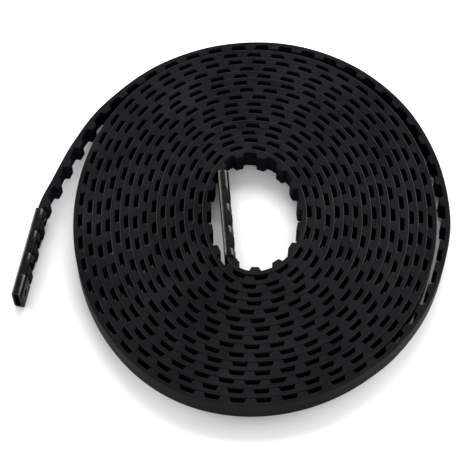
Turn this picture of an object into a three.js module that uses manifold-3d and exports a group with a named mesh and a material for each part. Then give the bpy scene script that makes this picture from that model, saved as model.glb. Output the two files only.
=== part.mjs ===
// Toothed rubber drive belt, open ended, with a crimped steel clip on each end,
// wound teeth inwards into a flat oval coil that stands on its edge.
// Millimetres, +Z up. The coil rests on z = 0 and the origin is under the middle of its box.
//
// The belt is three layers bonded over its whole length: the rubber backing, the tension
// cords and the toothed layer. The coil itself is one body. Each free end can flex, so it is
// cut at tooth gaps into short lengths that turn about vertical axes on the pitch line.
import * as THREE from 'three';
import { mergeVertices } from 'three/addons/utils/BufferGeometryUtils.js';
import Module from 'manifold-3d';

const wasm = await Module();
wasm.setup();

const DEG = Math.PI / 180;
const TURN = 2 * Math.PI;

// ---- belt section: half-inch pitch trapezoidal tooth ------------------------------------
const PITCH = 12.7;
const BELT_WIDTH = 12.7;
const BELT_THICKNESS = 4.3;
const TOOTH_HEIGHT = 2.29;
const TOOTH_ROOT = 6.12;              // length of a tooth along the belt, at its root
const TOOTH_TIP = 4.45;               // the same at its tip
const PITCH_LINE = 0.686;             // cord centres above the floor of a tooth gap
const CORD_LAYER = 0.5;
const LAYER_GAP = 0.05;
// distances from the pitch line, positive towards the back of the belt
const ROOT_AT = -PITCH_LINE;
const TIP_AT = ROOT_AT - TOOTH_HEIGHT;
const BACK_AT = TIP_AT + BELT_THICKNESS;

// ---- how the belt lies: plan view, about the middle of the coil -------------------------
const FIRST_TURN = 23.27;             // normal distance of the winding line at angle 0
const GAP_TO_PITCH_LINE = 1.83;       // from mid-depth of the tooth gaps to the pitch line
const TURN_SPACING = 4.567;           // first guess: the belt's length settles it
const BELT_PITCHES = 505;             // from the first crimped gap to the last
const OVAL = [[2, -5.05, 0], [3, 0.75, 0.23], [4, -0.4, -0.12]];   // [wave, cos, sin]
const OVAL_DRIFT = [[1, 0.19, -0.9], [2, 0.55, 0.58]];             // grows turn by turn
const MIDDLE_TURN = 8;                // where the drift is zero
const WIND_FROM = 280 * DEG;
const WIND_TO = (15 * 360 + 306) * DEG;
// the rest of the outermost turn is slack: it passes through these points to the outer clip
const SLACK = [[67.9, -70.7], [82.6, -50.5], [92.3, -25.9], [96.4, 0.5], [91.5, 33.5],
  [76.5, 64.5], [51, 88.5], [18, 101.5], [-18, 101], [-51, 88], [-77.5, 64.5], [-92, 42],
  [-101.5, 20.5]];
const OUTER_MOUTH = [-108.4, 2.4];    // pitch line where the belt enters the clip
const OUTER_HEADING = 259.1 * DEG;    // direction of the belt there, inner end to outer end
const INNER_MOUTH = [-13, -23.9];
const INNER_HEADING = 274.4 * DEG;
const INNER_BEND = [6, 8];            // handle lengths of the bend below the inner clip

// ---- clips: one stamped sheet, folded over the belt's edges and crimped into its gaps ---
const SHEET = 0.9;
const CLIP_FIT = 0.15;                // between the sheet and the rubber
const CLIP_LENGTH = 48.6;
const FIRST_CRIMP = 1.95;             // from the mouth to the middle of the first tooth gap
const CRIMPS = 3;
const TAB_LENGTH = 3.8;
const TAB_REACH = 4.6;
const FLANGE_DEPTH = 4.4;
const BELT_IN_CLIP = 37.4;
const TIP_BOX = 11;
const PIN_HOLE = 4;
const PIN_HOLE_FROM_TIP = 4.6;
const CLIP_HEIGHT = BELT_WIDTH + 2 * (SHEET + CLIP_FIT);
const CLIP_PITCH_LINE = SHEET + CLIP_FIT + BACK_AT;

// ---- flexing ends -----------------------------------------------------------------------
const SLIT = 0.6;                     // cut at each flexing gap, so that the back can close
const OUTER_RUN = 2;                  // pitches in each flexing length
const OUTER_FREE = 6;                 // free pitches, coil to outer clip
const INNER_FREE = 3;                 // free pitches, coil to inner clip
const EDGE_LIFT = SHEET + CLIP_FIT;   // a clip on the floor holds its belt this high

// ---- the belt's path --------------------------------------------------------------------
const SAMPLE = 0.5;

function waves(terms, angle) {
  let value = 0;
  let slope = 0;
  for (const [k, c, s] of terms) {
    value += c * Math.cos(k * angle) + s * Math.sin(k * angle);
    slope += k * (s * Math.cos(k * angle) - c * Math.sin(k * angle));
  }
  return [value, slope];
}

// A point of the winding whose outward normal is at `angle`. Turns are parallel curves.
function windingPoint(angle, spacing) {
  const turns = angle / TURN;
  const growth = (turns - MIDDLE_TURN) / MIDDLE_TURN;
  const [oval, ovalSlope] = waves(OVAL, angle);
  const [drift, driftSlope] = waves(OVAL_DRIFT, angle);
  const reach = FIRST_TURN + GAP_TO_PITCH_LINE + spacing * turns + oval + growth * drift;
  const slope = spacing / TURN + ovalSlope + growth * driftSlope + drift / (MIDDLE_TURN * TURN);
  return [reach * Math.cos(angle) - slope * Math.sin(angle),
    reach * Math.sin(angle) + slope * Math.cos(angle)];
}

function direction(heading) {
  return [Math.cos(heading), Math.sin(heading)];
}

function hermite(from, to, leave, arrive, t) {
  const a = 2 * t ** 3 - 3 * t ** 2 + 1;
  const b = t ** 3 - 2 * t ** 2 + t;
  const c = 3 * t ** 2 - 2 * t ** 3;
  const d = t ** 3 - t ** 2;
  return [0, 1].map(i => a * from[i] + b * leave[i] + c * to[i] + d * arrive[i]);
}

function curveBetween(from, to, leave, arrive) {
  const steps = Math.ceil(Math.hypot(to[0] - from[0], to[1] - from[1]) / SAMPLE);
  const points = [];
  for (let i = 1; i <= steps; i += 1) points.push(hermite(from, to, leave, arrive, i / steps));
  return points;
}

function scaled(vector, length) {
  const size = Math.hypot(vector[0], vector[1]);
  return [vector[0] * length / size, vector[1] * length / size];
}

// From the inner clip's tip to the outer clip's tip, as closely spaced points.
function beltLine(spacing) {
  const inward = direction(INNER_HEADING);
  const points = [];
  for (let back = CLIP_LENGTH; back > 0; back -= SAMPLE) {
    points.push([INNER_MOUTH[0] - back * inward[0], INNER_MOUTH[1] - back * inward[1]]);
  }
  points.push(INNER_MOUTH);
  const mouthAt = points.length - 1;

  const start = windingPoint(WIND_FROM, spacing);
  const [leave, arrive] = INNER_BEND;
  points.push(...curveBetween(INNER_MOUTH, start, scaled(inward, 3 * leave),
    scaled(direction(WIND_FROM + 90 * DEG), 3 * arrive)));

  const steps = Math.round((WIND_TO - WIND_FROM) / (0.4 * DEG));
  for (let i = 1; i <= steps; i += 1) {
    points.push(windingPoint(WIND_FROM + (WIND_TO - WIND_FROM) * i / steps, spacing));
  }

  const knots = [points.at(-1), ...SLACK, OUTER_MOUTH];
  const tangents = knots.map((knot, i) => {
    const before = knots[Math.max(i - 1, 0)];
    const after = knots[Math.min(i + 1, knots.length - 1)];
    const span = Math.hypot(after[0] - before[0], after[1] - before[1]);
    if (i === 0) return scaled(direction(WIND_TO + 90 * DEG), span);
    if (i === knots.length - 1) return scaled(direction(OUTER_HEADING), span);
    return [(after[0] - before[0]) / 2, (after[1] - before[1]) / 2];
  });
  for (let i = 1; i < knots.length; i += 1) {
    points.push(...curveBetween(knots[i - 1], knots[i], tangents[i - 1], tangents[i]));
  }
  const outerMouthAt = points.length - 1;
  const outward = direction(OUTER_HEADING);
  for (let ahead = SAMPLE; ahead <= CLIP_LENGTH; ahead += SAMPLE) {
    points.push([OUTER_MOUTH[0] + ahead * outward[0], OUTER_MOUTH[1] + ahead * outward[1]]);
  }

  const lengths = [0];
  for (let i = 1; i < points.length; i += 1) {
    const [a, b] = [points[i - 1], points[i]];
    lengths.push(lengths[i - 1] + Math.hypot(b[0] - a[0], b[1] - a[1]));
  }
  return { points, lengths, innerMouth: lengths[mouthAt], outerMouth: lengths[outerMouthAt] };
}

// How much longer the line is than the belt between its two mouths.
function surplus(line) {
  const crimped = line.outerMouth - line.innerMouth + 2 * FIRST_CRIMP;
  return crimped - BELT_PITCHES * PITCH;
}

function fittedLine() {
  let low = TURN_SPACING;
  let high = TURN_SPACING * 1.001;
  let atLow = surplus(beltLine(low));
  for (let i = 0; i < 6; i += 1) {
    const atHigh = surplus(beltLine(high));
    if (Math.abs(atHigh) < 1e-6 || high === low) break;
    const next = high - atHigh * (high - low) / (atHigh - atLow);
    [low, atLow, high] = [high, atHigh, next];
  }
  return beltLine(high);
}

const line = fittedLine();
const firstGap = line.innerMouth - FIRST_CRIMP;     // middle of the inner clip's mouth gap
const gapAt = index => firstGap + index * PITCH;

function locate(distance) {
  let low = 0;
  let high = line.lengths.length - 1;
  while (high - low > 1) {
    const middle = (low + high) >> 1;
    if (line.lengths[middle] <= distance) low = middle;
    else high = middle;
  }
  return low;
}

// The point `offset` from the pitch line, at `distance` along it.
function beltPoint(distance, offset) {
  const i = Math.min(Math.max(locate(distance), 1), line.points.length - 3);
  const [a, b] = [line.points[i], line.points[i + 1]];
  const t = (distance - line.lengths[i]) / (line.lengths[i + 1] - line.lengths[i]);
  const tangent = index => {
    const [p, q] = [line.points[index - 1], line.points[index + 1]];
    return scaled([q[0] - p[0], q[1] - p[1]], 1);
  };
  const [m, n] = [tangent(i), tangent(i + 1)];
  const along = scaled([m[0] + (n[0] - m[0]) * t, m[1] + (n[1] - m[1]) * t], 1);
  const x = a[0] + (b[0] - a[0]) * t + along[1] * offset;
  const y = a[1] + (b[1] - a[1]) * t - along[0] * offset;
  return new THREE.Vector2(x, y);
}

function headingAt(distance) {
  const [a, b] = [beltPoint(distance - 1, 0), beltPoint(distance + 1, 0)];
  return Math.atan2(b.y - a.y, b.x - a.x);
}

// ---- layers of the belt -----------------------------------------------------------------
const TIGHT_TURN = 0.235;             // radians in a pitch, above which a layer gets two steps
const TIGHTEST_TURN = 0.6;            // and four

// Where the smooth faces of the layers have their corners.
function steps(from, to) {
  const distances = [from];
  const first = Math.ceil((from - firstGap) / PITCH + 0.01);
  for (let k = first; gapAt(k) - PITCH < to - 0.01; k += 1) {
    const bend = headingAt(gapAt(k)) - headingAt(gapAt(k - 1));
    const turned = Math.abs(Math.atan2(Math.sin(bend), Math.cos(bend)));
    let parts = 1;
    if (turned > TIGHT_TURN) parts = 2;
    if (turned > TIGHTEST_TURN) parts = 4;
    for (let part = 1; part <= parts; part += 1) {
      const distance = gapAt(k - 1) + PITCH * part / parts;
      if (distance > from + 0.5 && distance < to - 0.5) distances.push(distance);
    }
  }
  distances.push(to);
  return distances;
}

function smoothFace(from, to, offset) {
  return steps(from, to).map(distance => beltPoint(distance, offset));
}

function toothedFace(from, to) {
  const face = [beltPoint(from, ROOT_AT)];
  const first = Math.ceil((from - firstGap) / PITCH + 0.01);
  for (let k = first; gapAt(k) - (PITCH - TOOTH_ROOT) / 2 < to - 0.01; k += 1) {
    const middle = gapAt(k) - PITCH / 2;
    face.push(beltPoint(middle - TOOTH_ROOT / 2, ROOT_AT));
    face.push(beltPoint(middle - TOOTH_TIP / 2, TIP_AT));
    face.push(beltPoint(middle + TOOTH_TIP / 2, TIP_AT));
    face.push(beltPoint(middle + TOOTH_ROOT / 2, ROOT_AT));
  }
  face.push(beltPoint(to, ROOT_AT));
  return face;
}

function closedBody(geometry) {
  geometry.deleteAttribute('normal');
  geometry.deleteAttribute('uv');
  const body = mergeVertices(geometry, 1e-5);
  body.computeVertexNormals();
  return body;
}

function layer(nearFace, farFace) {
  const outline = new THREE.Shape([...nearFace, ...farFace.toReversed()].toReversed());
  return closedBody(new THREE.ExtrudeGeometry(outline,
    { depth: BELT_WIDTH, bevelEnabled: false, steps: 1 }));
}

const rubber = new THREE.MeshStandardMaterial({ color: 0x222326, roughness: 0.85 });
const toothRubber = new THREE.MeshStandardMaterial({ color: 0x1c1d20, roughness: 0.9 });
const cordFibre = new THREE.MeshStandardMaterial({ color: 0x8d8a80, roughness: 0.6 });
const blackSteel = new THREE.MeshStandardMaterial(
  { color: 0x2b2a27, roughness: 0.42, metalness: 0.85 });

function node(name, geometry, material) {
  const mesh = new THREE.Mesh(geometry, material);
  mesh.name = name;
  return mesh;
}

// One length of belt, as its three layers, lifted clear of the floor.
function beltLength(name, from, to, lift) {
  const group = new THREE.Group();
  const cordFace = CORD_LAYER / 2;
  const coverFace = cordFace + LAYER_GAP;
  group.add(
    node(`${name}_teeth`, layer(toothedFace(from, to), smoothFace(from, to, -coverFace)),
      toothRubber),
    node(`${name}_tension_cords`,
      layer(smoothFace(from, to, -cordFace), smoothFace(from, to, cordFace)), cordFibre),
    node(`${name}_backing`,
      layer(smoothFace(from, to, coverFace), smoothFace(from, to, BACK_AT)), rubber));
  group.position.z = lift;
  return group;
}

// ---- clip -------------------------------------------------------------------------------
function solid(geometry) {
  const body = closedBody(geometry);
  return new wasm.Manifold(new wasm.Mesh({
    numProp: 3,
    vertProperties: new Float32Array(body.attributes.position.array),
    triVerts: new Uint32Array(body.index.array),
  }));
}

function block(x0, x1, y0, y1, z0, z1) {
  const box = new THREE.BoxGeometry(x1 - x0, y1 - y0, z1 - z0);
  box.translate((x0 + x1) / 2, (y0 + y1) / 2, (z0 + z1) / 2);
  return solid(box);
}

// Along +X from the mouth to the tip, back plate on y = 0, teeth towards +Y, z about the middle.
function clipGeometry() {
  const top = CLIP_HEIGHT / 2;
  const land = CLIP_PITCH_LINE - ROOT_AT;
  const tabFrom = land + CLIP_FIT;
  let clip = block(0, CLIP_LENGTH, 0, SHEET, -top, top);
  for (const side of [-1, 1]) {
    const [low, high] = [side * (top - SHEET), side * top].sort((a, b) => a - b);
    clip = clip.add(block(0, CLIP_LENGTH, 0, FLANGE_DEPTH, low, high));
    for (let i = 0; i < CRIMPS; i += 1) {
      const middle = FIRST_CRIMP + i * PITCH;
      const [from, to] = [side * (top - SHEET - TAB_REACH), side * top].sort((a, b) => a - b);
      clip = clip.add(block(middle - TAB_LENGTH / 2, middle + TAB_LENGTH / 2,
        tabFrom, tabFrom + SHEET, from, to));
    }
  }
  clip = clip.add(block(CLIP_LENGTH - TIP_BOX, CLIP_LENGTH,
    FLANGE_DEPTH - SHEET, FLANGE_DEPTH, -top, top));
  const drill = new THREE.CylinderGeometry(PIN_HOLE / 2, PIN_HOLE / 2, 3 * FLANGE_DEPTH, 24);
  drill.translate(CLIP_LENGTH - PIN_HOLE_FROM_TIP, FLANGE_DEPTH / 2, 0);
  const mesh = clip.subtract(solid(drill)).getMesh();
  const geometry = new THREE.BufferGeometry();
  geometry.setAttribute('position', new THREE.BufferAttribute(mesh.vertProperties, 3));
  geometry.setIndex(new THREE.BufferAttribute(mesh.triVerts, 1));
  geometry.computeVertexNormals();
  return geometry;
}

// The outer clip runs on along the belt; the inner one is the same part turned over.
function clipOnBelt(name, mouth, heading, turnedOver) {
  const frame = new THREE.Group();
  const back = BACK_AT + CLIP_FIT + SHEET;
  const [dx, dy] = direction(heading);
  frame.position.set(mouth[0] + dy * back, mouth[1] - dx * back, CLIP_HEIGHT / 2);
  frame.rotation.z = turnedOver ? heading + Math.PI : heading;
  const clip = node(name, clipGeometry(), blackSteel);
  clip.rotation.x = turnedOver ? Math.PI : 0;
  frame.add(clip);
  return frame;
}

// ---- assembly ---------------------------------------------------------------------------
const innerHinges = [gapAt(INNER_FREE), gapAt(1)];
const outerGap = BELT_PITCHES;
const outerHinges = [OUTER_FREE, OUTER_FREE - OUTER_RUN, OUTER_FREE - 2 * OUTER_RUN]
  .map(k => gapAt(outerGap - k));
const innerCut = line.innerMouth - BELT_IN_CLIP;
const outerCut = line.outerMouth + BELT_IN_CLIP;
const half = SLIT / 2;

const group = new THREE.Group();
group.add(
  beltLength('coil', innerHinges[0] + half, outerHinges[0] - half, 0),
  beltLength('outer_run_1', outerHinges[0] + half, outerHinges[1] - half, EDGE_LIFT / 3),
  beltLength('outer_run_2', outerHinges[1] + half, outerHinges[2] - half, EDGE_LIFT * 2 / 3),
  beltLength('outer_end', outerHinges[2] + half, outerCut, EDGE_LIFT),
  clipOnBelt('outer_clip', OUTER_MOUTH, OUTER_HEADING, false),
  beltLength('inner_run', innerHinges[1] + half, innerHinges[0] - half, EDGE_LIFT / 2),
  beltLength('inner_end', innerCut, innerHinges[1] - half, EDGE_LIFT),
  clipOnBelt('inner_clip', INNER_MOUTH, INNER_HEADING, true));

group.updateMatrixWorld(true);
const middle = new THREE.Box3().setFromObject(group).getCenter(new THREE.Vector3());
group.position.set(-middle.x, -middle.y, 0);

export default group;
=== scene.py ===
import math

import bmesh
import bpy
import numpy as np
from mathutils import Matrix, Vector


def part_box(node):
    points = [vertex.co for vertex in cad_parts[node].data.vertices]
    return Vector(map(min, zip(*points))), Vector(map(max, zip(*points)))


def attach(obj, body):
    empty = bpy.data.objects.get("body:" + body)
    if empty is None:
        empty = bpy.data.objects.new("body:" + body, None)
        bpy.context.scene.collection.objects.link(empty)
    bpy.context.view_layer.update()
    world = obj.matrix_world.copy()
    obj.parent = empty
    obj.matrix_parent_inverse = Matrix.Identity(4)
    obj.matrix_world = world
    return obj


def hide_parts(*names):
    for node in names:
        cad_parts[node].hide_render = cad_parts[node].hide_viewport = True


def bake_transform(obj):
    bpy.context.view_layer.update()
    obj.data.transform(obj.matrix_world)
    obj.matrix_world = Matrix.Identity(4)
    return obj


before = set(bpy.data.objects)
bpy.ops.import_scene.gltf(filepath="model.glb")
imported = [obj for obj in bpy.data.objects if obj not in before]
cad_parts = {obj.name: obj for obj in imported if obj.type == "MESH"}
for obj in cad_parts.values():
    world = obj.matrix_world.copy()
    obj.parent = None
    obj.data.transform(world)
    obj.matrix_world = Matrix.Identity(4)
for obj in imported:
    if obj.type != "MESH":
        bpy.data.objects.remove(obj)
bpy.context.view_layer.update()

MM = 0.001
TURN = 2 * math.pi

# ---- belt section, millimetres ------------------------------------------------------------
PITCH = 12.7
WIDTH = 12.7
THICKNESS = 4.3
TOOTH_HEIGHT = 2.29
TOOTH_ROOT = 6.12
TOOTH_TIP = 4.45
ROOT_AT = -0.686                      # floor of a tooth gap, from the pitch line
TIP_AT = ROOT_AT - TOOTH_HEIGHT
BACK_AT = TIP_AT + THICKNESS
ROOT_FILLET = 0.6
TIP_FILLET = 0.55
CUT_EDGE = 0.12                       # worn chamfer along the cut edges, tooth side
BACK_EDGE = 0.34                      # rounding of the same edges on the back
PLUMP = 0.17                          # the backing swells this much and all but closes the turns
FLOOR_POINT = 0.78                    # of half a pitch: an extra point on a tooth gap's floor
NEAR_CUT = 0.05                       # outline points this close to a cut are left out
SETTLE = 0.06                         # height of each wave in which the turns' edges settle
SETTLE_WAVES = ((83.0, 0.0), (31.0, 1.3))   # millimetres to a radian, and phase in radians

# ---- how the belt lies --------------------------------------------------------------------
FIRST_TURN = 23.27
GAP_TO_PITCH_LINE = 1.83
TURN_SPACING = 4.567
BELT_PITCHES = 505
OVAL = [(2, -5.05, 0), (3, 0.75, 0.23), (4, -0.4, -0.12)]          # wave, cos, sin
OVAL_DRIFT = [(1, 0.19, -0.9), (2, 0.55, 0.58)]    # how that changes from turn to turn
MIDDLE_TURN = 8
WIND_FROM = math.radians(280)
WIND_TO = math.radians(15 * 360 + 306)   # beyond it the outermost turn is slack
WINDING_STEP = 0.4                    # degrees
SLACK = [(67.9, -70.7), (82.6, -50.5), (92.3, -25.9), (96.4, 0.5), (91.5, 33.5),
         (76.5, 64.5), (51, 88.5), (18, 101.5), (-18, 101), (-51, 88), (-77.5, 64.5),
         (-92, 42), (-101.5, 20.5)]
OUTER_MOUTH = (-108.4, 2.4)
OUTER_HEADING = math.radians(259.1)
INNER_MOUTH = (-13, -23.9)
INNER_HEADING = math.radians(274.4)
INNER_BEND = (6, 8)                   # handle lengths of the bend from the clip into the coil
SAMPLE = 0.5                          # between points of the line
SPACING_TRIES = 6
SPACING_FITS = 1e-6

# ---- clips --------------------------------------------------------------------------------
SHEET = 0.9
CLIP_FIT = 0.15                       # between the belt and the sheet
CLIP_LENGTH = 48.6
FIRST_CRIMP = 1.95                    # from the clip's mouth to its first crimped gap
CRIMPS = 3
TAB_LENGTH = 3.8
FLANGE_DEPTH = 4.4
BELT_IN_CLIP = 37.4
TIP_BOX = 11
PIN_HOLE = 4
PIN_HOLE_FROM_TIP = 4.6
CLIP_HEIGHT = WIDTH + 2 * (SHEET + CLIP_FIT)
CLIP_BACK = BACK_AT + CLIP_FIT + SHEET
EDGE_LIFT = SHEET + CLIP_FIT

# ---- hinges near the ends, about which the belt is cut into pieces ------------------------
OUTER_HINGES = (6, 4, 2)              # pitches back from the outer clip's first crimped gap
INNER_HINGES = (3, 1)                 # pitches on from the inner clip's
FLEX_REACH = 10.0                     # each side of a hinge


# ---- the belt's line ----------------------------------------------------------------------
def waves(terms, angle):
    value = sum(c * np.cos(k * angle) + s * np.sin(k * angle) for k, c, s in terms)
    slope = sum(k * (s * np.cos(k * angle) - c * np.sin(k * angle)) for k, c, s in terms)
    return value, slope


def winding(angle, spacing):
    """Points of the coil whose outward normals are at these angles. Turns are parallel."""
    turns = angle / TURN
    growth = (turns - MIDDLE_TURN) / MIDDLE_TURN
    oval, oval_slope = waves(OVAL, angle)
    drift, drift_slope = waves(OVAL_DRIFT, angle)
    reach = FIRST_TURN + GAP_TO_PITCH_LINE + spacing * turns + oval + growth * drift
    slope = spacing / TURN + oval_slope + growth * drift_slope + drift / (MIDDLE_TURN * TURN)
    return np.stack([reach * np.cos(angle) - slope * np.sin(angle),
                     reach * np.sin(angle) + slope * np.cos(angle)], -1)


def heading_vector(heading):
    return np.array([math.cos(heading), math.sin(heading)])


def resized(vector, length):
    return np.array(vector) * length / np.hypot(*vector)


def hermite(start, end, leave, arrive):
    start, end = np.array(start, float), np.array(end, float)
    steps = math.ceil(np.hypot(*(end - start)) / SAMPLE)
    t = (np.arange(1, steps + 1) / steps)[:, None]
    return ((2 * t**3 - 3 * t**2 + 1) * start + (t**3 - 2 * t**2 + t) * leave
            + (3 * t**2 - 2 * t**3) * end + (t**3 - t**2) * arrive)


def belt_line(spacing):
    """The pitch line from the inner clip's tip to the outer clip's, and its two mouths."""
    inward, outward = heading_vector(INNER_HEADING), heading_vector(OUTER_HEADING)
    back = np.arange(CLIP_LENGTH, 0, -SAMPLE)[:, None]
    inner = np.vstack([np.array(INNER_MOUTH) - back * inward, INNER_MOUTH])
    start = winding(np.array([WIND_FROM]), spacing)[0]
    leave, arrive = INNER_BEND
    bend = hermite(INNER_MOUTH, start, 3 * leave * inward,
                   3 * arrive * heading_vector(WIND_FROM + math.pi / 2))
    steps = round(math.degrees(WIND_TO - WIND_FROM) / WINDING_STEP)
    angles = WIND_FROM + (WIND_TO - WIND_FROM) * np.arange(1, steps + 1) / steps
    coil = winding(angles, spacing)
    knots = [coil[-1]] + [np.array(p, float) for p in SLACK] + [np.array(OUTER_MOUTH)]
    tangents = [(b - a) / 2 for a, b in zip(knots, knots[2:])]
    first = resized(heading_vector(WIND_TO + math.pi / 2), np.hypot(*(knots[1] - knots[0])))
    last = resized(outward, np.hypot(*(knots[-1] - knots[-2])))
    tangents = [first, *tangents, last]
    slack = [hermite(knots[i], knots[i + 1], tangents[i], tangents[i + 1])
             for i in range(len(knots) - 1)]
    ahead = np.arange(SAMPLE, CLIP_LENGTH + SAMPLE / 2, SAMPLE)[:, None]
    outer = np.array(OUTER_MOUTH) + ahead * outward
    points = np.vstack([inner, bend, coil, *slack, outer])
    lengths = np.concatenate([[0], np.cumsum(np.hypot(*np.diff(points, axis=0).T))])
    inner_mouth = lengths[len(inner) - 1]
    outer_mouth = lengths[len(points) - len(outer) - 1]
    return points, lengths, inner_mouth, outer_mouth


def surplus(spacing):
    _, _, inner_mouth, outer_mouth = belt_line(spacing)
    return outer_mouth - inner_mouth + 2 * FIRST_CRIMP - BELT_PITCHES * PITCH


def fitted_spacing():
    """The turn spacing that lets a whole number of pitches lie between the clips."""
    low, high = TURN_SPACING, TURN_SPACING * 1.001
    at_low = surplus(low)
    for _ in range(SPACING_TRIES):
        at_high = surplus(high)
        if abs(at_high) < SPACING_FITS or high == low:
            break
        low, at_low, high = high, at_high, high - at_high * (high - low) / (at_high - at_low)
    return high


LINE, LENGTHS, INNER_MOUTH_AT, OUTER_MOUTH_AT = belt_line(fitted_spacing())
RUNS = np.gradient(LINE, axis=0)
HEADINGS = RUNS / np.hypot(*RUNS.T)[:, None]
FIRST_GAP = INNER_MOUTH_AT - FIRST_CRIMP


def gap_at(index):
    return FIRST_GAP + index * PITCH


def belt_xy(distance, offset):
    """Plan points `offset` from the pitch line (towards the back), `distance` along it."""
    along = np.stack([np.interp(distance, LENGTHS, HEADINGS[:, i]) for i in (0, 1)], -1)
    along /= np.linalg.norm(along, axis=-1, keepdims=True)
    middle = np.stack([np.interp(distance, LENGTHS, LINE[:, i]) for i in (0, 1)], -1)
    side = np.stack([along[..., 1], -along[..., 0]], -1)
    return middle + side * np.asarray(offset)[..., None]


# ---- from the belt's own plan to the frame --------------------------------------------------
def clip_axes(heading):
    """Along the clip and out of its back plate."""
    along = heading_vector(heading)
    return along, np.array([along[1], -along[0]])


def plan_shift():
    along, outward = clip_axes(OUTER_HEADING)
    back = np.array(OUTER_MOUTH) + outward * CLIP_BACK
    corners = [back + along * x - outward * y
               for x in (0, CLIP_LENGTH) for y in (0, FLANGE_DEPTH)]
    low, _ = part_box("outer_clip")
    return np.array([low.x, low.y]) / MM - np.min(corners, axis=0)


SHIFT = plan_shift()


def place(xy, z):
    """Frame coordinates, in metres, of plan points and heights in millimetres."""
    xy = np.asarray(xy) + SHIFT
    return np.concatenate([xy, np.broadcast_to(z, xy.shape[:-1])[..., None]], -1) * MM


# ---- belt mesh ------------------------------------------------------------------------------
def rounded_corner(before, corner, after, radius, steps=2):
    corner = np.array(corner, float)
    to_before = resized(np.array(before) - corner, 1)
    to_after = resized(np.array(after) - corner, 1)
    half = math.acos(np.clip(to_before @ to_after, -1, 1)) / 2
    reach = radius / math.tan(half)
    centre = corner + resized(to_before + to_after, radius / math.sin(half))
    first = corner + to_before * reach - centre
    last = corner + to_after * reach - centre
    turn = math.atan2(first[0] * last[1] - first[1] * last[0], first @ last)
    side = np.array([-first[1], first[0]])
    angles = (turn * k / steps for k in range(steps + 1))
    return [centre + first * math.cos(a) + side * math.sin(a) for a in angles]


def tooth_profile():
    """(distance, offset) of one pitch of the toothed side, gap middle to gap middle."""
    gap = PITCH / 2
    corners = [(-gap, ROOT_AT), (-TOOTH_ROOT / 2, ROOT_AT), (-TOOTH_TIP / 2, TIP_AT),
               (TOOTH_TIP / 2, TIP_AT), (TOOTH_ROOT / 2, ROOT_AT), (gap, ROOT_AT)]
    radii = [ROOT_FILLET, TIP_FILLET, TIP_FILLET, ROOT_FILLET]
    points = [np.array([-gap, ROOT_AT]), np.array([-gap * FLOOR_POINT, ROOT_AT])]
    for i, radius in enumerate(radii, start=1):
        points += rounded_corner(corners[i - 1], corners[i], corners[i + 1], radius)
        if i == 2:
            points.append(np.array([0, TIP_AT]))
    points.append(np.array([gap * FLOOR_POINT, ROOT_AT]))
    return np.array(points)


PROFILE = tooth_profile()
# around the section: (height from the nearer edge, inset), tooth side up, then back down
DIAGONAL = BACK_EDGE * (1 - math.sqrt(0.5))
RING = [(0, CUT_EDGE), (CUT_EDGE, 0), (WIDTH - CUT_EDGE, 0), (WIDTH, CUT_EDGE),
        (WIDTH, BACK_EDGE), (WIDTH - DIAGONAL, DIAGONAL), (WIDTH - BACK_EDGE, 0),
        (BACK_EDGE, 0), (DIAGONAL, DIAGONAL), (0, BACK_EDGE)]
TOOTH_SIDE = 4                        # so many of the ring's points are on the tooth side
CREASES = (0, 1, 2, 3, 4, 6, 7, 9)    # ring points whose edges along the belt are sharp
TOOTHED, CUT, BACK, BACK_HIGHLIGHT = range(4)    # the belt's material slots
# the back's rounded edges take a lighter rubber: painted highlight standing in for the light they
# catch
FACE_SLOTS = (TOOTHED, TOOTHED, TOOTHED, CUT, BACK_HIGHLIGHT, BACK_HIGHLIGHT, BACK,
              BACK_HIGHLIGHT, BACK_HIGHLIGHT, CUT)


def stations(start, end):
    """Distances, offsets and outline normals of the toothed side between two cuts."""
    first = math.floor((start - FIRST_GAP) / PITCH) - 1
    last = math.ceil((end - FIRST_GAP) / PITCH) + 1
    middles = FIRST_GAP + (np.arange(first, last) + 0.5) * PITCH
    distance = (middles[:, None] + PROFILE[:, 0]).ravel()
    offset = np.tile(PROFILE[:, 1], len(middles))
    keep = (distance > start + NEAR_CUT) & (distance < end - NEAR_CUT)
    cut_offset = np.interp([start, end], distance, offset)
    distance = np.concatenate([[start], distance[keep], [end]])
    offset = np.concatenate([cut_offset[:1], offset[keep], cut_offset[1:]])
    run = np.stack([np.gradient(distance), np.gradient(offset)], -1)
    run /= np.linalg.norm(run, axis=1)[:, None]
    normal = np.stack([-run[:, 1], run[:, 0]], -1)   # from the face into the rubber
    normal[[0, -1]] = [0, 1]
    return distance, offset, normal


def near_clip(distance):
    """0 along the coil, rising smoothly to 1 where the belt enters a clip."""
    outer = [gap_at(BELT_PITCHES - k) for k in (OUTER_HINGES[0], OUTER_HINGES[-1])]
    inner = [gap_at(k) for k in INNER_HINGES[::-1]]
    rise_out = np.clip((distance - outer[0]) / (outer[1] - outer[0]), 0, 1)
    rise_in = np.clip((inner[1] - distance) / (inner[1] - inner[0]), 0, 1)
    rise = np.maximum(rise_out, rise_in)
    return rise * rise * (3 - 2 * rise)


def edge_height(distance):
    """How high the belt's lower edge lies: the ends rise to the clips, turns rarely agree."""
    near = near_clip(distance)
    settle = SETTLE * sum(1 + np.sin(distance / length + phase) for length, phase in SETTLE_WAVES)
    return EDGE_LIFT * near + settle * (1 - near)


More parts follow.
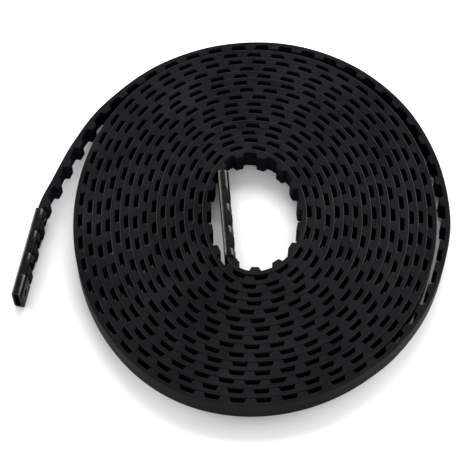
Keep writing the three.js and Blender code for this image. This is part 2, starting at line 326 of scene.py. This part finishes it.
def belt_piece(name, start, end, materials):
    distance, offset, normal = stations(start, end)
    count, ring = len(distance), len(RING)
    lift = edge_height(distance)
    back = BACK_AT + PLUMP * (1 - near_clip(distance))
    points = np.zeros((count, ring, 3))
    for j, (height, inset) in enumerate(RING):
        if j < TOOTH_SIDE:
            along, across = distance + normal[:, 0] * inset, offset + normal[:, 1] * inset
        else:
            along, across = distance, back - inset
        along = np.clip(along, start, end)
        points[:, j] = place(belt_xy(along, across), lift + height)
    index = np.arange(count * ring).reshape(count, ring)
    following = np.roll(index, -1, axis=1)
    quads = np.stack([index[:-1], following[:-1], following[1:], index[1:]], -1)
    faces = quads.reshape(-1, 4).tolist()
    faces += [index[0][::-1].tolist(), index[-1].tolist()]
    mesh = bpy.data.meshes.new(name)
    mesh.from_pydata(points.reshape(-1, 3), [], faces)
    belt_uv(mesh, distance, count)
    for material in materials:
        mesh.materials.append(material)
    slots = [*FACE_SLOTS] * (count - 1) + [CUT, CUT]
    mesh.polygons.foreach_set("material_index", slots)
    mesh.polygons.foreach_set("use_smooth", [True] * len(faces))
    mark_creases(mesh, ring, count)
    mesh.validate()
    mesh.update()
    piece = bpy.data.objects.new(name, mesh)
    bpy.context.scene.collection.objects.link(piece)
    return piece


def belt_uv(mesh, distance, count):
    """A map in metres: along the belt, and round its section."""
    section = np.array([((TIP_AT if j < TOOTH_SIDE else BACK_AT), height)
                        for j, (height, _) in enumerate(RING)])
    around = np.concatenate([[0], np.cumsum(np.hypot(*np.diff(
        np.vstack([section, section[:1]]), axis=0).T))])
    along = distance * MM
    low, high = along[:-1, None], along[1:, None]
    v0, v1 = around[None, :-1] * MM, around[None, 1:] * MM
    shape = (count - 1, len(RING))
    corners = [(low, v0), (low, v1), (high, v1), (high, v0)]
    uv = np.stack([np.stack([np.broadcast_to(u, shape), np.broadcast_to(v, shape)], -1)
                   for u, v in corners], 2).reshape(-1, 2)
    caps = np.zeros((2 * len(RING), 2))
    layer = mesh.uv_layers.new(name="belt")
    layer.data.foreach_set("uv", np.vstack([uv, caps]).ravel())


def mark_creases(mesh, ring, count):
    ends = np.zeros(len(mesh.edges) * 2, int)
    mesh.edges.foreach_get("vertices", ends)
    a, b = ends.reshape(-1, 2).T
    along = (a % ring == b % ring) & np.isin(a % ring, CREASES)
    at_cut = (a // ring == b // ring) & np.isin(a // ring, (0, count - 1))
    mesh.edges.foreach_set("use_edge_sharp", (along | at_cut).tolist())


# ---- materials ------------------------------------------------------------------------------
def shader(name):
    material = bpy.data.materials.new(name)
    material.use_nodes = True
    return material, material.node_tree, material.node_tree.nodes["Principled BSDF"]


def add(tree, kind, **inputs):
    item = tree.nodes.new(kind)
    for key, value in inputs.items():
        item.inputs[key.replace("_", " ")].default_value = value
    return item


def stretched(tree, source, scale):
    """Coordinates from `source`, scaled."""
    mapping = tree.nodes.new("ShaderNodeMapping")
    mapping.inputs["Scale"].default_value = scale
    tree.links.new(source, mapping.inputs["Vector"])
    return mapping.outputs["Vector"]


def noise(tree, vector, scale, detail=4.0, roughness=0.55):
    item = add(tree, "ShaderNodeTexNoise", Scale=scale, Detail=detail, Roughness=roughness)
    tree.links.new(vector, item.inputs["Vector"])
    return item.outputs["Fac"]


def ramp(tree, value, stops):
    item = tree.nodes.new("ShaderNodeValToRGB")
    elements = item.color_ramp.elements
    while len(elements) < len(stops):
        elements.new(0.5)
    for element, (position, colour) in zip(elements, stops):
        element.position = position
        element.color = (*colour, 1)
    tree.links.new(value, item.inputs["Fac"])
    return item.outputs["Color"]


def to_range(tree, value, low, high, value_from=(0.0, 1.0)):
    item = add(tree, "ShaderNodeMapRange", From_Min=value_from[0], From_Max=value_from[1],
               To_Min=low, To_Max=high)
    tree.links.new(value, item.inputs["Value"])
    return item.outputs["Result"]


def mixed(tree, a, b, kind="ADD"):
    item = tree.nodes.new("ShaderNodeMath")
    item.operation = kind
    tree.links.new(a, item.inputs[0])
    tree.links.new(b, item.inputs[1])
    return item.outputs["Value"]


def bumped(tree, bsdf, height, distance):
    item = add(tree, "ShaderNodeBump", Strength=1.0, Distance=distance)
    tree.links.new(height, item.inputs["Height"])
    tree.links.new(item.outputs["Normal"], bsdf.inputs["Normal"])


GRAIN_SCALE = 2600                    # the noises' scales are features to a metre
BLOOM_SCALE = 38
DRAWN_SCALE = (35, 2400, 1)           # along the belt, and across it
SMUDGE_SCALE = 420
PRESSED_SCALE = 5200
TONES = (1.1, 1.9)                    # the range in which the sum of three noises mostly lies


def rubber(name, dark, light, rough, specular, grain_depth):
    """Black rubber: fine grain, marks drawn along the belt, slow blotches of bloom."""
    material, tree, bsdf = shader(name)
    spot = tree.nodes.new("ShaderNodeTexCoord").outputs["Object"]
    uv = add(tree, "ShaderNodeUVMap")
    uv.uv_map = "belt"
    grain = noise(tree, spot, GRAIN_SCALE, 3.0)
    drawn = noise(tree, stretched(tree, uv.outputs["UV"], DRAWN_SCALE), 1.0, 3.0, 0.6)
    bloom = noise(tree, spot, BLOOM_SCALE)
    mix = mixed(tree, mixed(tree, grain, drawn), bloom)
    tone = to_range(tree, mix, 0.0, 1.0, value_from=TONES)
    tree.links.new(ramp(tree, tone, [(0.0, dark), (1.0, light)]), bsdf.inputs["Base Color"])
    tree.links.new(to_range(tree, mixed(tree, drawn, bloom, "MULTIPLY"),
                            rough + 0.12, rough - 0.16), bsdf.inputs["Roughness"])
    bsdf.inputs["Specular IOR Level"].default_value = specular
    bumped(tree, bsdf, mixed(tree, grain, drawn), grain_depth)
    return material


def clip_steel(name, dark, light, metallic, specular):
    """Pressed sheet under black oxide, smudged by handling; called with lighter colours, it is the
    painted highlight of the folds and worn edges.
    """
    material, tree, bsdf = shader(name)
    spot = tree.nodes.new("ShaderNodeTexCoord").outputs["Object"]
    smudge = noise(tree, spot, SMUDGE_SCALE, 6.0, 0.68)
    grain = noise(tree, spot, PRESSED_SCALE, 2.0)
    tree.links.new(ramp(tree, smudge, [(0.36, dark), (0.66, light)]), bsdf.inputs["Base Color"])
    tree.links.new(to_range(tree, smudge, 0.30, 0.52), bsdf.inputs["Roughness"])
    bsdf.inputs["Metallic"].default_value = metallic
    bsdf.inputs["Specular IOR Level"].default_value = specular
    bumped(tree, bsdf, mixed(tree, grain, smudge), 0.00004)
    return material


# ---- clip mesh ------------------------------------------------------------------------------
HALF_SHEET = SHEET / 2
FOLD = 0.7                            # radius of the sheet's middle at the long folds
FOLD_STEPS = 4
DROP_STEPS = 3                        # in the straight part of a tab or flap
TAB_FOLD_FROM = 3.0                   # from the back plate's outer face
TAB_FOLD = 0.6
TAB_BEND = math.radians(70)
TAB_DROP = 4.2
NOTCH = 0.45                          # relief cut each side of a tab
FLAP_FOLD = 0.65
OUTER_FLAP_AT = 4.9                   # middle of the flap that laps over the other one
FLAP_STOPS_BELOW = 1.6                # from the middle of the far flange to that flap's edge
FLAP_CLEARS = 0.1                     # between the inner flap's edge and the far flange
CUT_EVERY = 2.0                       # longest face along the clip
HOLE_SIDES = 40
WORN_EDGE = 0.12
WORN_FROM = math.radians(40)          # edges sharper than this are worn
SHARP_FROM = math.radians(35)


def fold_points(y, z, radius, bend):
    """Points of a fold that starts level, towards +y, at (y, z) and turns downwards."""
    turned = [bend * k / FOLD_STEPS for k in range(1, FOLD_STEPS + 1)]
    return [(y + radius * math.sin(a), z - radius * (1 - math.cos(a))) for a in turned]


def half_section(kind, laps_over):
    """Middle of the sheet from the back plate's centre line round to one free edge, as (y, z)."""
    top = CLIP_HEIGHT / 2 - HALF_SHEET
    plate = [(HALF_SHEET, 0.0), (HALF_SHEET, (top - FOLD) / 2), (HALF_SHEET, top - FOLD)]
    corner = [(HALF_SHEET + FOLD * (1 - math.cos(a)), top - FOLD + FOLD * math.sin(a))
              for a in (math.pi / 2 * k / FOLD_STEPS for k in range(1, FOLD_STEPS + 1))]
    start = HALF_SHEET + FOLD
    if kind == "tip":
        face = OUTER_FLAP_AT if laps_over else FLANGE_DEPTH - HALF_SHEET
        fold_from = face - FLAP_FOLD
        fold = fold_points(fold_from, top, FLAP_FOLD, math.pi / 2)
        low = -(top - FLAP_STOPS_BELOW) if laps_over else -(top - HALF_SHEET - FLAP_CLEARS)
        drop = [(face, fold[-1][1] + (low - fold[-1][1]) * k / DROP_STEPS)
                for k in range(1, DROP_STEPS + 1)]
    else:
        fold_from = TAB_FOLD_FROM
        if kind == "tab":
            fold = fold_points(fold_from, top, TAB_FOLD, TAB_BEND)
        else:
            fold = [(fold_from + (FLANGE_DEPTH - fold_from) * k / FOLD_STEPS, top)
                    for k in range(1, FOLD_STEPS + 1)]
        y, z = fold[-1]
        reaches = [TAB_DROP * k / DROP_STEPS for k in range(1, DROP_STEPS + 1)]
        drop = [(y + r * math.cos(TAB_BEND), z - r * math.sin(TAB_BEND)) for r in reaches]
    flange = [(start + (fold_from - start) * k / 2, top) for k in (1, 2)]
    return plate + corner + flange + fold + drop


FLANGE_COLUMN = 3 + FOLD_STEPS + 1    # last column that every stretch of the clip has
FOLD_COLUMN = FLANGE_COLUMN + FOLD_STEPS
# slot 1 holds a lighter colour on the folds and worn edges: painted highlight
OXIDE, PAINTED_HIGHLIGHT = 0, 1                  # the clip's material slots
LONG_FOLD = range(2, 2 + FOLD_STEPS)  # columns of the fold beside the back plate


def clip_stretches():
    """(start, end, kind) along the clip, from its mouth to its tip."""
    stretches, at = [], 0.0
    for i in range(CRIMPS):
        middle = FIRST_CRIMP + i * PITCH
        low, high = middle - TAB_LENGTH / 2, middle + TAB_LENGTH / 2
        if low - NOTCH > at:
            stretches += [(at, low - NOTCH, "plain"), (low - NOTCH, low, "notch")]
            stretches.append((low, high, "tab"))
        else:
            stretches.append((at, high, "tab"))
        stretches.append((high, high + NOTCH, "notch"))
        at = high + NOTCH
    tip = CLIP_LENGTH - TIP_BOX
    return stretches + [(at, tip - NOTCH, "plain"), (tip - NOTCH, tip, "notch"),
                        (tip, CLIP_LENGTH, "tip")]


def columns_of(kind):
    return {"plain": FOLD_COLUMN, "notch": FLANGE_COLUMN}.get(kind, FOLD_COLUMN + DROP_STEPS)


def sheet_middle(laps):
    """The clip's sheet as a surface with no thickness. `laps` is the side, 1 up or -1 down,
    whose flap lies outside the other one's at the tip."""
    bm = bmesh.new()
    known = {}

    def vertex(x, side, kind, column):
        y, z = half_section(kind, side == laps)[column]
        key = (round(x, 4), round(y, 4), round(side * z, 4))
        if key not in known:
            known[key] = bm.verts.new((x, y, side * z))
        return known[key]

    for start, end, kind in clip_stretches():
        shape = "plain" if kind == "notch" else kind
        cuts = max(1, round((end - start) / CUT_EVERY))
        for side in (-1, 1):
            for i in range(cuts):
                x0, x1 = (start + (end - start) * (i + d) / cuts for d in (0, 1))
                for near in range(columns_of(kind)):
                    far = near + 1
                    corners = [vertex(x0, side, shape, near), vertex(x1, side, shape, near),
                               vertex(x1, side, shape, far), vertex(x0, side, shape, far)]
                    face = bm.faces.new(corners if side > 0 else corners[::-1])
                    # faces in the folds take the painted highlight colour
                    in_fold = shape != "plain" and FLANGE_COLUMN <= near < FOLD_COLUMN
                    face.material_index = PAINTED_HIGHLIGHT if in_fold or near in LONG_FOLD else OXIDE
    return bm


def apply_modifiers(piece):
    graph = bpy.context.evaluated_depsgraph_get()
    final = bpy.data.meshes.new_from_object(piece.evaluated_get(graph))
    old = piece.data
    piece.modifiers.clear()
    piece.data = final
    bpy.data.meshes.remove(old)


def pin_cutter():
    bm = bmesh.new()
    bmesh.ops.create_cone(bm, cap_ends=True, segments=HOLE_SIDES, radius1=PIN_HOLE / 2,
                          radius2=PIN_HOLE / 2, depth=6 * FLANGE_DEPTH)
    mesh = bpy.data.meshes.new("pin_cutter")
    bm.to_mesh(mesh)
    bm.free()
    cutter = bpy.data.objects.new("pin_cutter", mesh)
    cutter.rotation_euler = (math.pi / 2, 0, 0)
    cutter.location = (CLIP_LENGTH - PIN_HOLE_FROM_TIP, FLANGE_DEPTH / 2, 0)
    bpy.context.scene.collection.objects.link(cutter)
    return cutter


def pressed_sheet(name, laps, materials):
    """The clip with its thickness, its pin hole and its worn edges, its mouth at x = 0."""
    bm = sheet_middle(laps)
    mesh = bpy.data.meshes.new(name)
    bm.to_mesh(mesh)
    bm.free()
    for material in materials:
        mesh.materials.append(material)
    piece = bpy.data.objects.new(name, mesh)
    bpy.context.scene.collection.objects.link(piece)
    thick = piece.modifiers.new("sheet", "SOLIDIFY")
    thick.thickness, thick.offset, thick.use_even_offset = SHEET, 0.0, True
    cutter = pin_cutter()
    hole = piece.modifiers.new("pin_hole", "BOOLEAN")
    hole.object, hole.operation, hole.solver = cutter, "DIFFERENCE", "EXACT"
    # the bevel's faces take the painted highlight colour too
    worn = piece.modifiers.new("worn_edges", "BEVEL")
    worn.width, worn.segments, worn.limit_method = WORN_EDGE, 2, "ANGLE"
    worn.angle_limit, worn.material = WORN_FROM, PAINTED_HIGHLIGHT
    bpy.context.view_layer.update()
    apply_modifiers(piece)
    bpy.data.objects.remove(cutter)
    return piece


def clip_piece(name, mouth, heading, turned_over, materials):
    flip = -1 if turned_over else 1
    piece = pressed_sheet(name, -flip, materials)
    along, outward = clip_axes(heading)
    along = along * flip
    back = np.array(mouth) + outward * CLIP_BACK
    data = piece.data
    co = np.zeros(len(data.vertices) * 3)
    data.vertices.foreach_get("co", co)
    x, y, z = co.reshape(-1, 3).T
    xy = back + x[:, None] * along - y[:, None] * outward
    placed = place(xy, CLIP_HEIGHT / 2 + flip * z)
    data.vertices.foreach_set("co", placed.ravel())
    data.polygons.foreach_set("use_smooth", [True] * len(data.polygons))
    data.set_sharp_from_angle(angle=SHARP_FROM)
    data.update()
    return piece


# ---- build ------------------------------------------------------------------------------------
belt_materials = (
    rubber("tooth_face_rubber", (0.0034, 0.0028, 0.0062), (0.0088, 0.0080, 0.0120),
           rough=0.85, specular=0.02, grain_depth=0.00003),
    rubber("cut_edge_rubber", (0.0018, 0.0019, 0.0022), (0.0100, 0.0104, 0.0116),
           rough=0.9, specular=0.03, grain_depth=0.00003),
    rubber("backing_rubber", (0.0045, 0.0045, 0.0041), (0.0105, 0.0103, 0.0094),
           rough=0.5, specular=0.03, grain_depth=0.00001),
    # painted highlight: a lighter rubber for the back's rounded edges
    rubber("back_edge_painted_highlight", (0.0065, 0.0066, 0.0070), (0.0150, 0.0152, 0.0160),
           rough=0.6, specular=0.06, grain_depth=0.00001))
steel = (
    clip_steel("clip_black_oxide", (0.0006, 0.0005, 0.0004), (0.0050, 0.0043, 0.0035),
               metallic=0.0, specular=0.04),
    # painted highlight: a lighter, partly metallic colour for the folds and worn edges
    clip_steel("clip_fold_painted_highlight", (0.006, 0.0055, 0.005), (0.042, 0.039, 0.034),
               metallic=0.35, specular=0.25))

outer_hinges = [gap_at(BELT_PITCHES - k) for k in OUTER_HINGES]
inner_hinges = [gap_at(k) for k in INNER_HINGES]
inner_cut = INNER_MOUTH_AT - BELT_IN_CLIP
outer_cut = OUTER_MOUTH_AT + BELT_IN_CLIP
outer_joins = [outer_hinges[0] - PITCH, (outer_hinges[0] + outer_hinges[1]) / 2,
               (outer_hinges[1] + outer_hinges[2]) / 2]
inner_joins = [inner_hinges[0] + PITCH, (inner_hinges[0] + inner_hinges[1]) / 2]
LAYERS = ("teeth", "tension_cords", "backing")


def stand_for(length):
    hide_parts(*[f"{length}_{layer}" for layer in LAYERS])


coil = belt_piece("coiled_belt", inner_joins[0], outer_joins[0], belt_materials)
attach(coil, "coil")
stand_for("coil")


def flexing(name, start, end, hinge, length):
    """A stretch of belt about one hinge. Both ends of it are beyond the hinge."""
    piece = belt_piece(name, start, end, belt_materials)
    before, after = (Vector(place(belt_xy(np.array(hinge + d), 0.0), WIDTH / 2))
                     for d in (-FLEX_REACH, FLEX_REACH))
    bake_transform(piece)
    stand_for(length)


flexing("outer_bend_1", outer_joins[0], outer_joins[1], outer_hinges[0],
        "outer_run_1")
flexing("outer_bend_2", outer_joins[1], outer_joins[2], outer_hinges[1],
        "outer_run_2")
flexing("outer_bend_3", outer_joins[2], outer_cut, outer_hinges[2],
        "outer_end")
flexing("inner_bend_1", inner_joins[1], inner_joins[0], inner_hinges[0],
        "inner_run")
flexing("inner_bend_2", inner_cut, inner_joins[1], inner_hinges[1],
        "inner_end")

for name, mouth, heading, turned_over, body in (
        ("outer_clip_sheet", OUTER_MOUTH, OUTER_HEADING, False, "outer_end"),
        ("inner_clip_sheet", INNER_MOUTH, INNER_HEADING, True, "inner_end")):
    clip = clip_piece(name, mouth, heading, turned_over, steel)
    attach(clip, body)
    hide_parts(name.replace("_sheet", ""))


# ---- floor, light and camera, in metres ---------------------------------------------------------
FLOOR_SIZE = 8
SKY = 0.8
LIGHTS = (("left_bank", (-1.256, 0.586, 0.2), (1.2, 0.35), 36),   # place, size, watts
          ("right_bank", (1.224, 0.651, 0.2), (1.2, 0.35), 48),
          ("rear_bank", (0, 1.5, 1.15), (1.6, 0.9), 50))
CAMERA_ELEVATION = math.radians(62.093)
CAMERA_DISTANCE = 0.8065
CAMERA_AIM = Vector((-0.0018, -0.00939, 0.0127))
CAMERA_LENS = 126.2
CAMERA_SENSOR = 36


def stage_floor():
    bpy.ops.mesh.primitive_plane_add(size=FLOOR_SIZE, location=(0, 0, 0))
    floor = bpy.context.object
    floor.name = "floor"
    material, _, bsdf = shader("floor_paper")
    bsdf.inputs["Base Color"].default_value = (0.9, 0.9, 0.9, 1)
    bsdf.inputs["Roughness"].default_value = 0.9
    bsdf.inputs["Specular IOR Level"].default_value = 0.1
    floor.data.materials.append(material)


def soft_light(name, spot, size, power):
    """A rectangular light at `spot` that faces the middle of the floor."""
    data = bpy.data.lights.new(name, "AREA")
    data.shape, data.size, data.size_y, data.energy = "RECTANGLE", size[0], size[1], power
    light = bpy.data.objects.new(name, data)
    light.location = spot
    light.rotation_euler = (Vector() - Vector(spot)).to_track_quat("-Z", "Y").to_euler()
    bpy.context.scene.collection.objects.link(light)


def studio():
    world = bpy.data.worlds.new("studio")
    world.use_nodes = True
    background = world.node_tree.nodes["Background"]
    background.inputs["Color"].default_value = (1, 1, 1, 1)
    background.inputs["Strength"].default_value = SKY
    bpy.context.scene.world = world
    for light in LIGHTS:
        soft_light(*light)


def camera():
    data = bpy.data.cameras.new("camera")
    data.lens, data.sensor_width = CAMERA_LENS, CAMERA_SENSOR
    eye = bpy.data.objects.new("camera", data)
    back = Vector((0, -math.cos(CAMERA_ELEVATION), math.sin(CAMERA_ELEVATION)))
    eye.location = CAMERA_AIM + back * CAMERA_DISTANCE
    eye.rotation_euler = (math.pi / 2 - CAMERA_ELEVATION, 0, 0)
    bpy.context.scene.collection.objects.link(eye)
    bpy.context.scene.camera = eye


stage_floor()
studio()
camera()
bpy.context.scene.view_settings.view_transform = "Standard"
